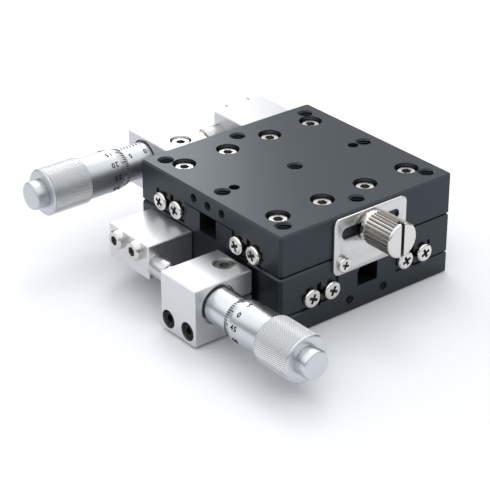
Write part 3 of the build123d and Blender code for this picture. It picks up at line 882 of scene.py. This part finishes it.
# ---------------------------------------------------------------- sub-assemblies
@dataclass
class Plates:
    """The three black plates and the threads in their accessory holes."""

    finish: Finish = BLACK_ANODISED
    names: tuple[str, ...] = ("base_plate", "middle_plate", "top_plate")
    table_z: float = 30.0
    grid: float = 25.0
    side_y: float = 6.0
    side_z: float = 27.3
    front_z: float = 3.9
    half: float = 30.0
    foot_z: float = 6.0
    deep: float = -0.5      # the threads start this far inside the table's holes
    shallow: float = -0.3   # and this far inside the others

    def build(self) -> None:
        """Dresses the plates, which keep their CAD shapes, and cuts the threads."""
        for name in self.names:
            rounded_copy(name, self.finish)
        square = [(x * self.grid, y * self.grid) for x in (-1, 0, 1) for y in (-1, 0, 1)]
        table = [(x, y, self.deep) for x, y in square if x or y >= 0]
        over_lock = [(0.0, -self.grid, self.deep)]
        feet = [(x, y, self.shallow) for x, y in square if x and y]
        row = [(0.0, y, self.shallow) for y in (self.side_y, -self.side_y)]
        pair = [(x, 0.0, self.shallow) for x in (self.side_y, -self.side_y)]
        top = Matrix.Translation((0, 0, self.table_z))
        foot = Matrix.Translation((0, 0, self.foot_z))
        left = Matrix.Translation((-self.half, 0, self.side_z)) @ Matrix.Rotation(math.radians(-90), 4, "Y")
        front = Matrix.Translation((0, -self.half, self.front_z)) @ Matrix.Rotation(math.radians(90), 4, "X")
        for name, body, places, size, turns, place in (
            ("table_threads", "top", table, M4, 5, top),
            ("lock_side_thread", "top", over_lock, M4, 3, top),
            ("base_threads", "base", feet, M4, 7, foot),
            ("table_side_threads", "top", row, M3, 6, left),
            ("table_middle_thread", "top", [(0.0, 0.0, self.shallow)], M3, 3, left),
            ("base_front_threads", "base", pair, M3, 4, front),
        ):
            self.thread(name, body, places, threads(size, turns, self.finish), place)

    @staticmethod
    def thread(name: str, body: str, places: Points, pattern: Pattern, place: Matrix) -> None:
        """Keeps threads in a row of holes as one piece.

        Args:
            name: The piece's name.
            body: The body it rides on.
            places: Mouths of the holes, mm, with the hole running to -z.
            pattern: The thread.
            place: Takes the holes to the row frame, in mm.
        """
        mesh = run_patterns(name, points_mesh(places), [pattern], Matrix.Scale(MM, 4) @ place)
        keep_piece(name, mesh, body)


@dataclass
class Guide:
    """Rails, rollers, cages, spring and their screws on one slide."""

    axis: Axis
    finishes: dict[str, Finish] = field(
        default_factory=lambda: {
            "inner_rails": RAIL_PAINTED_SHADE,
            "outer_rails": RAIL_PAINTED_SHADE,
            "roller_cages": CAGE_SHEET,
            "rollers": LAPPED_STEEL,
            "spring_post": LAPPED_STEEL,
            "spring_anchor": LAPPED_STEEL,
        }
    )
    screws: dict[str, Finish] = field(
        default_factory=lambda: {
            "inner_rail_screws": STAINLESS,
            "outer_rail_screws": STAINLESS,
            "inner_end_screws": NICKEL,
            "outer_end_screws": NICKEL,
        }
    )
    coil: tuple[float, float] = (-17.9, 13.9)           # ends of the part of the spring that stretches

    def build(self) -> None:
        """Dresses every piece of the guide."""
        self.spring()
        for piece, finish in self.finishes.items():
            rounded_copy(self.axis.node(piece), finish)
        for piece, finish in self.screws.items():
            rounded_copy(self.axis.node(piece), finish, RECESS_SHADE)

    def spring(self) -> None:
        """Shows the return spring as a merged copy of its CAD node, which is hidden."""
        node = self.axis.node("spring")
        piece = linked(node + "_shown", rounded_mesh(node, SPRING_WIRE))
        start, end = (self.axis.place @ Vector((0, y, SPRING_HEIGHT)) for y in self.coil)
        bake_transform(piece)
        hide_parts(node)


KNURL_STRETCH = 1.2         # a knurl pyramid is about this much longer than wide
KNURL_SUNK = 0.02           # the pyramids and the floor between them, painted dark as shade, overlap by this, mm


@dataclass
class MicrometerHead:
    """A micrometer head in its clamp block, with the bracket and pin that its spindle pushes."""

    axis: Axis
    zero_angle: float
    line_angle: float
    front: float = -28.6
    bevel_end: float = -31.5
    bevel_radius: float = 5.25
    drum_radius: float = 5.95
    grip_radius: float = 6.6
    grip: tuple[float, float] = (-54.0, -42.0)
    knurl_count: int = 70
    knurl_depth: float = 0.22
    thimble_end: float = -54.6
    cap_end: float = -58.3
    nose: float = -5.8
    bore: float = 2.55
    hub: float = -52.0
    mouth: float = 5.05
    cavity: float = 5.3
    sleeve_radius: float = 5.0
    sleeve_end: float = -43.0
    sleeve_zero: float = -21.9
    spindle_radius: float = 2.5
    spindle_tip: float = 0.75
    journal: float = 2.0
    journal_ends: tuple[float, float] = (-51.9, -54.4)
    stem: tuple[float, float] = (1.0, -50.1)            # radius and end of the cap's stem
    socket: tuple[float, float] = (1.05, -49.6)         # the same of the hole in the spindle
    cap: tuple[float, float] = (4.0, 0.35)              # radius and chamfer
    anvil: tuple[float, float, float] = (0.8, 6.8, 9.8) # face, back and end of the shank
    anvil_radius: float = 3.0
    anvil_shank: float = 1.49
    rounding: float = 0.12
    digit: float = 1.5
    line: float = 0.24
    scale_line: float = 0.19
    scale_line_length: float = 15.5
    scale_line_start: float = -20.6
    scale_number_x: float = 3.3
    dial_number_y: float = -33.25
    dial_lift: float = 0.035
    scale_lift: float = 0.012

    def build(self) -> None:
        """Dresses the head, turns its round pieces and adds its knurl, dial and scale."""
        aluminium = ANODISED_LIT_AND_SHADED[self.axis]
        for piece, finish, recess in (
            ("micrometer_block", aluminium, None),
            ("anvil_bracket", aluminium, None),
            ("thread_nut", NUT_BRASS, None),
            ("block_mount_screws", BLACK_OXIDE, BLACK_OXIDE),
            ("block_clamp_screw", STAINLESS, RECESS_SHADE),
            ("anvil_bracket_screws", STAINLESS, RECESS_SHADE),
        ):
            rounded_copy(self.axis.node(piece), finish, recess)
        self.rounds()
        self.knurl()
        self.dial()
        self.scale()

    def rounds(self) -> None:
        """Turns the sleeve, spindle, thimble, cap and anvil pin with their edges broken."""
        chrome = CHROME_LIT_AND_SHADED[self.axis]
        low, high = self.grip
        root, end = self.grip_radius - self.knurl_depth, self.thimble_end
        cap, cap_edge = self.cap
        stem, stem_end = self.stem
        socket, socket_end = self.socket
        shoulder, tail = self.journal_ends
        face, back, pin_end = self.anvil
        shapes: dict[str, tuple[Outline, Finish]] = {
            "micrometer_sleeve": ([
                (self.bore, self.nose), (self.sleeve_radius - 0.4, self.nose),
                (self.sleeve_radius, self.nose - 0.4), (self.sleeve_radius, self.sleeve_end),
                (self.bore, self.sleeve_end),
            ], chrome),
            "thimble": ([
                (self.mouth, self.front), (self.bevel_radius, self.front), (self.drum_radius, self.bevel_end),
                (self.drum_radius, high + 0.25), (root, high + 0.1), (root, low - 0.05),
                (self.grip_radius, low - 0.1), (self.grip_radius, end + 0.4),
                (self.grip_radius - 0.4, end), (self.journal + 0.05, end),
                (self.journal + 0.05, self.hub), (self.cavity, self.hub), (self.cavity, self.bevel_end - 0.1),
                (self.mouth, self.bevel_end - 0.1),
            ], chrome),
            "thimble_cap": ([
                (0.0, stem_end), (stem, stem_end), (stem, end), (cap, end), (cap, self.cap_end + cap_edge),
                (cap - cap_edge, self.cap_end), (0.0, self.cap_end),
            ], chrome),
            "spindle": ([
                (0.0, self.spindle_tip), (self.spindle_radius - 0.3, self.spindle_tip),
                (self.spindle_radius, self.spindle_tip - 0.3), (self.spindle_radius, shoulder),
                (self.journal, shoulder), (self.journal, tail), (socket, tail), (socket, socket_end),
                (0.0, socket_end),
            ], LAPPED_STEEL),
            "anvil_pin": ([
                (0.0, face), (self.anvil_radius - 0.4, face), (self.anvil_radius, face + 0.4),
                (self.anvil_radius, back), (self.anvil_shank, back), (self.anvil_shank, pin_end), (0.0, pin_end),
            ], LAPPED_STEEL),
        }
        for piece, (points, finish) in shapes.items():
            outline = softened(points, self.rounding)
            stand_in(self.axis.node(piece), turned(outline, self.axis.head, finish))

    def add(self, piece: str, body: str, source: Mesh, patterns: list[Pattern]) -> None:
        """Runs patterns and keeps the result as a piece of this head.

        Args:
            piece: The piece's plain name.
            body: The body it rides on.
            source: The mesh that the patterns start from.
            patterns: The patterns in order.
        """
        name = self.axis.node(piece)
        mesh = run_patterns(name, source, patterns, self.axis.head)
        keep_piece(name, mesh, body)

    def knurl(self) -> None:
        """Diamond knurl round the thimble's grip, with painted shade on the root between the pyramids."""
        low, high = self.grip
        root = self.grip_radius - self.knurl_depth
        pitch = 2 * math.pi * root / self.knurl_count
        length = high - low
        rows = 2 * round(length / (pitch * KNURL_STRETCH)) - 1
        pitch_y = 2 * length / (rows + 1)
        tips = diamonds(self.knurl_count, rows, (pitch, pitch_y), self.knurl_depth + KNURL_SUNK, KNURL_TIP_LIT)
        place = Matrix.Translation((0, (low + high) / 2, -KNURL_SUNK))
        thimble = self.axis.node("thimble")
        flat = run_patterns("grip", empty_mesh(), [tips], place)
        self.add("grip_knurl", thimble, flat, [wrap(KNURL_TIP_LIT, root)])
        # The root ring between the pyramids is painted shade.
        inside, outside = root - 0.05, root + KNURL_SUNK
        floor = turned(
            [(inside, low), (outside, low), (outside, high), (inside, high)], self.axis.head, KNURL_ROOT_SHADE
        )
        keep_piece(self.axis.node("grip_root"), floor, thimble)

    def dial(self) -> None:
        """Fifty marks on the thimble's bevel and a number at every fifth."""
        body = self.axis.node("thimble")
        step = 2 * math.pi * self.bevel_radius / 50
        ring = run_patterns(
            "ring", empty_mesh(), [marks(50, (step, 0.0), self.line, 1.25, 2.25, 5, 180.0)],
            Matrix.Translation((0, self.front - 0.1, 0)),
        )
        slope = (self.drum_radius - self.bevel_radius) / (self.front - self.bevel_end)
        self.add("dial_marks", body, ring, [wrap(INK, self.bevel_radius, self.front, slope, self.zero_angle)])
        fifth = 2 * math.pi * self.drum_radius / 10
        texts = [(str(5 * i), fifth * i, self.dial_number_y) for i in range(10)]
        numbers = number_mesh(texts, self.digit, self.dial_lift)
        self.add("dial_numbers", body, numbers, [wrap(INK, self.drum_radius, turn=self.zero_angle)])

    def scale(self) -> None:
        """Half-millimetre scale along the sleeve with its reading line and numbers."""
        body = self.axis.carrier
        ruler = marks(27, (0.0, -0.5), self.scale_line, 1.3, 2.2, 10, -90.0, both_ways=True)
        rows = run_patterns("rows", empty_mesh(), [ruler], Matrix.Translation((0, self.sleeve_zero, 0)))
        reading = marks(1, (0.0, 0.0), self.scale_line, self.scale_line_length, self.scale_line_length, 1, 180.0)
        line = run_patterns("line", empty_mesh(), [reading], Matrix.Translation((0, self.scale_line_start, 0)))
        texts = [(str(5 * i), self.scale_number_x, self.sleeve_zero - 5.0 * i) for i in range(3)]
        numbers = number_mesh(texts, self.digit, self.scale_lift)
        for piece, flat in (("scale_marks", rows), ("scale_line", line), ("scale_numbers", numbers)):
            self.add(piece, body, flat, [wrap(INK, self.sleeve_radius, turn=self.line_angle)])


@dataclass
class Lock:
    """Slotted lock plate, washer and ridged thumb knob of one slide."""

    axis: Axis
    knob_radius: float = 4.9
    collar: float = 4.65
    seat: float = -31.65
    collar_end: float = -32.85
    rim: float = -42.1
    face: float = -42.8
    ridge_count: int = 28
    ridge_radius: float = 0.37
    slot_width: float = 1.1
    slot_depth: float = 2.0
    shank: tuple[float, float] = (1.45, -24.0)          # radius and end
    root_depth: float = 0.4
    rounding: float = 0.35

    def build(self) -> None:
        """Dresses the lock and makes its knob."""
        rounded_copy(self.axis.node("lock_plate"), BRUSHED_PLATE, edge=0.12)
        rounded_copy(self.axis.node("lock_plate_screws"), NICKEL, RECESS_SHADE)
        rounded_copy(self.axis.node("lock_washer"), NICKEL)
        stand_in(self.axis.node("lock_knob"), self.knob())

    def knob(self) -> Mesh:
        """The turned knob with its ridges, and a coin slot cut across them.

        Returns:
            The mesh in the row frame.
        """
        root = self.knob_radius - self.root_depth
        start = self.collar_end - 0.3
        shank, tip = self.shank
        core = turned(softened([
            (0.0, tip), (shank, tip), (shank, self.seat), (self.collar, self.seat), (self.collar, self.collar_end),
            (root, start), (root, self.rim), (self.knob_radius, self.rim - 0.05),
            (self.knob_radius, self.face + self.rounding), (self.knob_radius - self.rounding, self.face),
            (0.0, self.face),
        ], 0.1), Matrix.Identity(4), KNOB_STEEL)
        middle = self.knob_radius - self.ridge_radius
        pitch = 2 * math.pi * middle / self.ridge_count
        row = ridges(self.ridge_count, pitch, self.ridge_radius, start - self.rim, KNOB_STEEL)
        flat = run_patterns("bars", empty_mesh(), [row], Matrix.Translation((0, (start + self.rim) / 2, 0)))
        bars = run_patterns("rolled_bars", flat, [wrap(KNOB_STEEL, middle)], Matrix.Identity(4))
        joined = bmesh.new()
        joined.from_mesh(core)
        joined.from_mesh(bars)
        joined.to_mesh(core)
        joined.free()
        return self.slotted(core)

    def slotted(self, mesh: Mesh) -> Mesh:
        """Cuts the coin slot and paints shade on its walls.

        Args:
            mesh: The knob, turned about Y, in mm.

        Returns:
            The knob in the row frame.
        """
        cutter_shape = bmesh.new()
        bmesh.ops.create_cube(cutter_shape, size=1.0)
        size = Matrix.Diagonal((self.slot_width, 2 * self.slot_depth, 12.0, 1.0))
        cutter_shape.transform(Matrix.Translation((0, self.face, 0)) @ size)
        cutter_mesh = bpy.data.meshes.new("slot_cutter")
        cutter_shape.to_mesh(cutter_mesh)
        cutter_shape.free()
        # The slot's walls take the recess finish: painted shade in the coin slot.
        cutter_mesh.materials.append(RECESS_SHADE.material())
        blank, cutter = linked("knob_blank", mesh), linked("slot_cutter", cutter_mesh)
        cut = blank.modifiers.new("slot", "BOOLEAN")
        cut.operation, cut.solver, cut.object, cut.use_self = "DIFFERENCE", "EXACT", cutter, True
        cut.material_mode = "TRANSFER"
        result = taken_out(blank)
        bpy.data.objects.remove(cutter)
        shape = bmesh.new()
        shape.from_mesh(result)
        shape.transform(self.axis.lock)
        soft_shading(shape, result)
        return result


# ---------------------------------------------------------------- studio
@dataclass
class Lamp:
    """A square soft lamp that looks at the stage and isn't seen itself."""

    name: str
    place: Color
    size: float
    power: float
    color: Color = (1.0, 1.0, 1.0)

    def build(self) -> None:
        """Adds the lamp."""
        data = bpy.data.lights.new(self.name, "AREA")
        data.shape, data.size, data.energy, data.color = "SQUARE", self.size, self.power, self.color
        lamp = linked(self.name, data)
        lamp.location = self.place
        lamp.rotation_euler = (Vector((0, 0, 0.01)) - Vector(self.place)).to_track_quat("-Z", "Y").to_euler()
        lamp.visible_camera = False


@dataclass
class Studio:
    """Floor, world, lamps and camera."""

    floor_size: float = 6.0
    floor_color: Color = (0.71, 0.722, 0.742)
    sky_color: Color = (0.975, 0.988, 1.0)
    sky_low: float = 0.10
    sky_high: float = 1.50
    sky_edge: tuple[float, float] = (0.04, 0.62)
    sky_lean: tuple[float, float] = (-0.08, 0.03)
    camera_place: Color = (-0.286550, -0.336006, 0.241278)
    camera_target: Color = (-0.013021, 0.005486, 0.007770)
    camera_roll: float = 0.1167
    lens: float = 132.722
    lamps: tuple[Lamp, ...] = (
        Lamp("back_box", (0.056, 0.19, 0.125), 0.12, 0.12),
        Lamp("top_right", (0.28, 0.32, 0.70), 0.30, 1.2),
    )

    def build(self) -> None:
        """Builds the studio."""
        self.floor()
        self.world()
        for lamp in self.lamps:
            lamp.build()
        self.camera()

    def floor(self) -> None:
        """Adds the pale floor that the stage stands on."""
        half = self.floor_size / 2
        mesh = bpy.data.meshes.new("floor")
        square = [(-half, -half, 0), (half, -half, 0), (half, half, 0), (-half, half, 0)]
        mesh.from_pydata(square, [], [(0, 1, 2, 3)])
        made = bpy.data.materials.new("floor")
        made.use_nodes = True
        surface = made.node_tree.nodes["Principled BSDF"]
        surface.inputs["Base Color"].default_value = (*self.floor_color, 1)
        surface.inputs["Roughness"].default_value = 0.8
        surface.inputs["Specular IOR Level"].default_value = 0.1
        mesh.materials.append(made)
        linked("floor", mesh)

    def world(self) -> None:
        """White behind the object, and light that grows smoothly from the horizon to the sky above."""
        world = bpy.data.worlds.new("studio")
        world.use_nodes = True
        world.node_tree.nodes.clear()
        graph = Graph(world.node_tree)
        path = graph.node("ShaderNodeLightPath")
        seen = graph.math("MAXIMUM", graph.out(path, "Is Camera Ray"), graph.out(path, "Is Transmission Ray"))
        split = graph.node("ShaderNodeSeparateXYZ")
        graph.feed(split.inputs[0], graph.node("ShaderNodeTexCoord").outputs["Generated"])
        lean_x, lean_y = self.sky_lean
        rise = graph.out(split, "Z") + graph.out(split, "X") * lean_x + graph.out(split, "Y") * lean_y
        level = graph.node(
            "ShaderNodeMapRange", {"interpolation_type": "SMOOTHSTEP"}, Value=rise,
            From_Min=self.sky_edge[0], From_Max=self.sky_edge[1], To_Min=self.sky_low, To_Max=self.sky_high,
        )
        light = graph.node("ShaderNodeBackground", None, Color=(*self.sky_color, 1), Strength=level.outputs[0])
        white = graph.node("ShaderNodeBackground", None, Color=(1, 1, 1, 1), Strength=1.0)
        mixed = graph.node("ShaderNodeMixShader")
        graph.feed(mixed.inputs[0], seen)
        graph.feed(mixed.inputs[1], light.outputs[0])
        graph.feed(mixed.inputs[2], white.outputs[0])
        graph.node("ShaderNodeOutputWorld", None, Surface=mixed.outputs[0])
        bpy.context.scene.world = world
        bpy.context.scene.view_settings.view_transform = "Standard"

    def camera(self) -> None:
        """Puts the camera where the photograph was taken."""
        data = bpy.data.cameras.new("camera")
        data.lens, data.sensor_width, data.clip_start, data.clip_end = self.lens, 36.0, 0.01, 20.0
        camera = linked("camera", data)
        place, target = Vector(self.camera_place), Vector(self.camera_target)
        aim = (target - place).to_track_quat("-Z", "Y").to_matrix().to_4x4()
        roll = Matrix.Rotation(math.radians(-self.camera_roll), 4, "Z")
        camera.matrix_world = Matrix.Translation(place) @ aim @ roll
        bpy.context.scene.camera = camera


def main() -> None:
    """Builds every sub-assembly and the studio, and notes the size of the result."""
    logging.basicConfig(level=logging.INFO, format="%(name)s: %(message)s")
    Plates().build()
    for axis, zero_angle, line_angle in ((Axis.LOWER, -43.3, 22.0), (Axis.UPPER, -93.5, -2.5)):
        Guide(axis).build()
        MicrometerHead(axis, zero_angle, line_angle).build()
        Lock(axis).build()
    Studio().build()


if __name__ == "__main__":
    main()
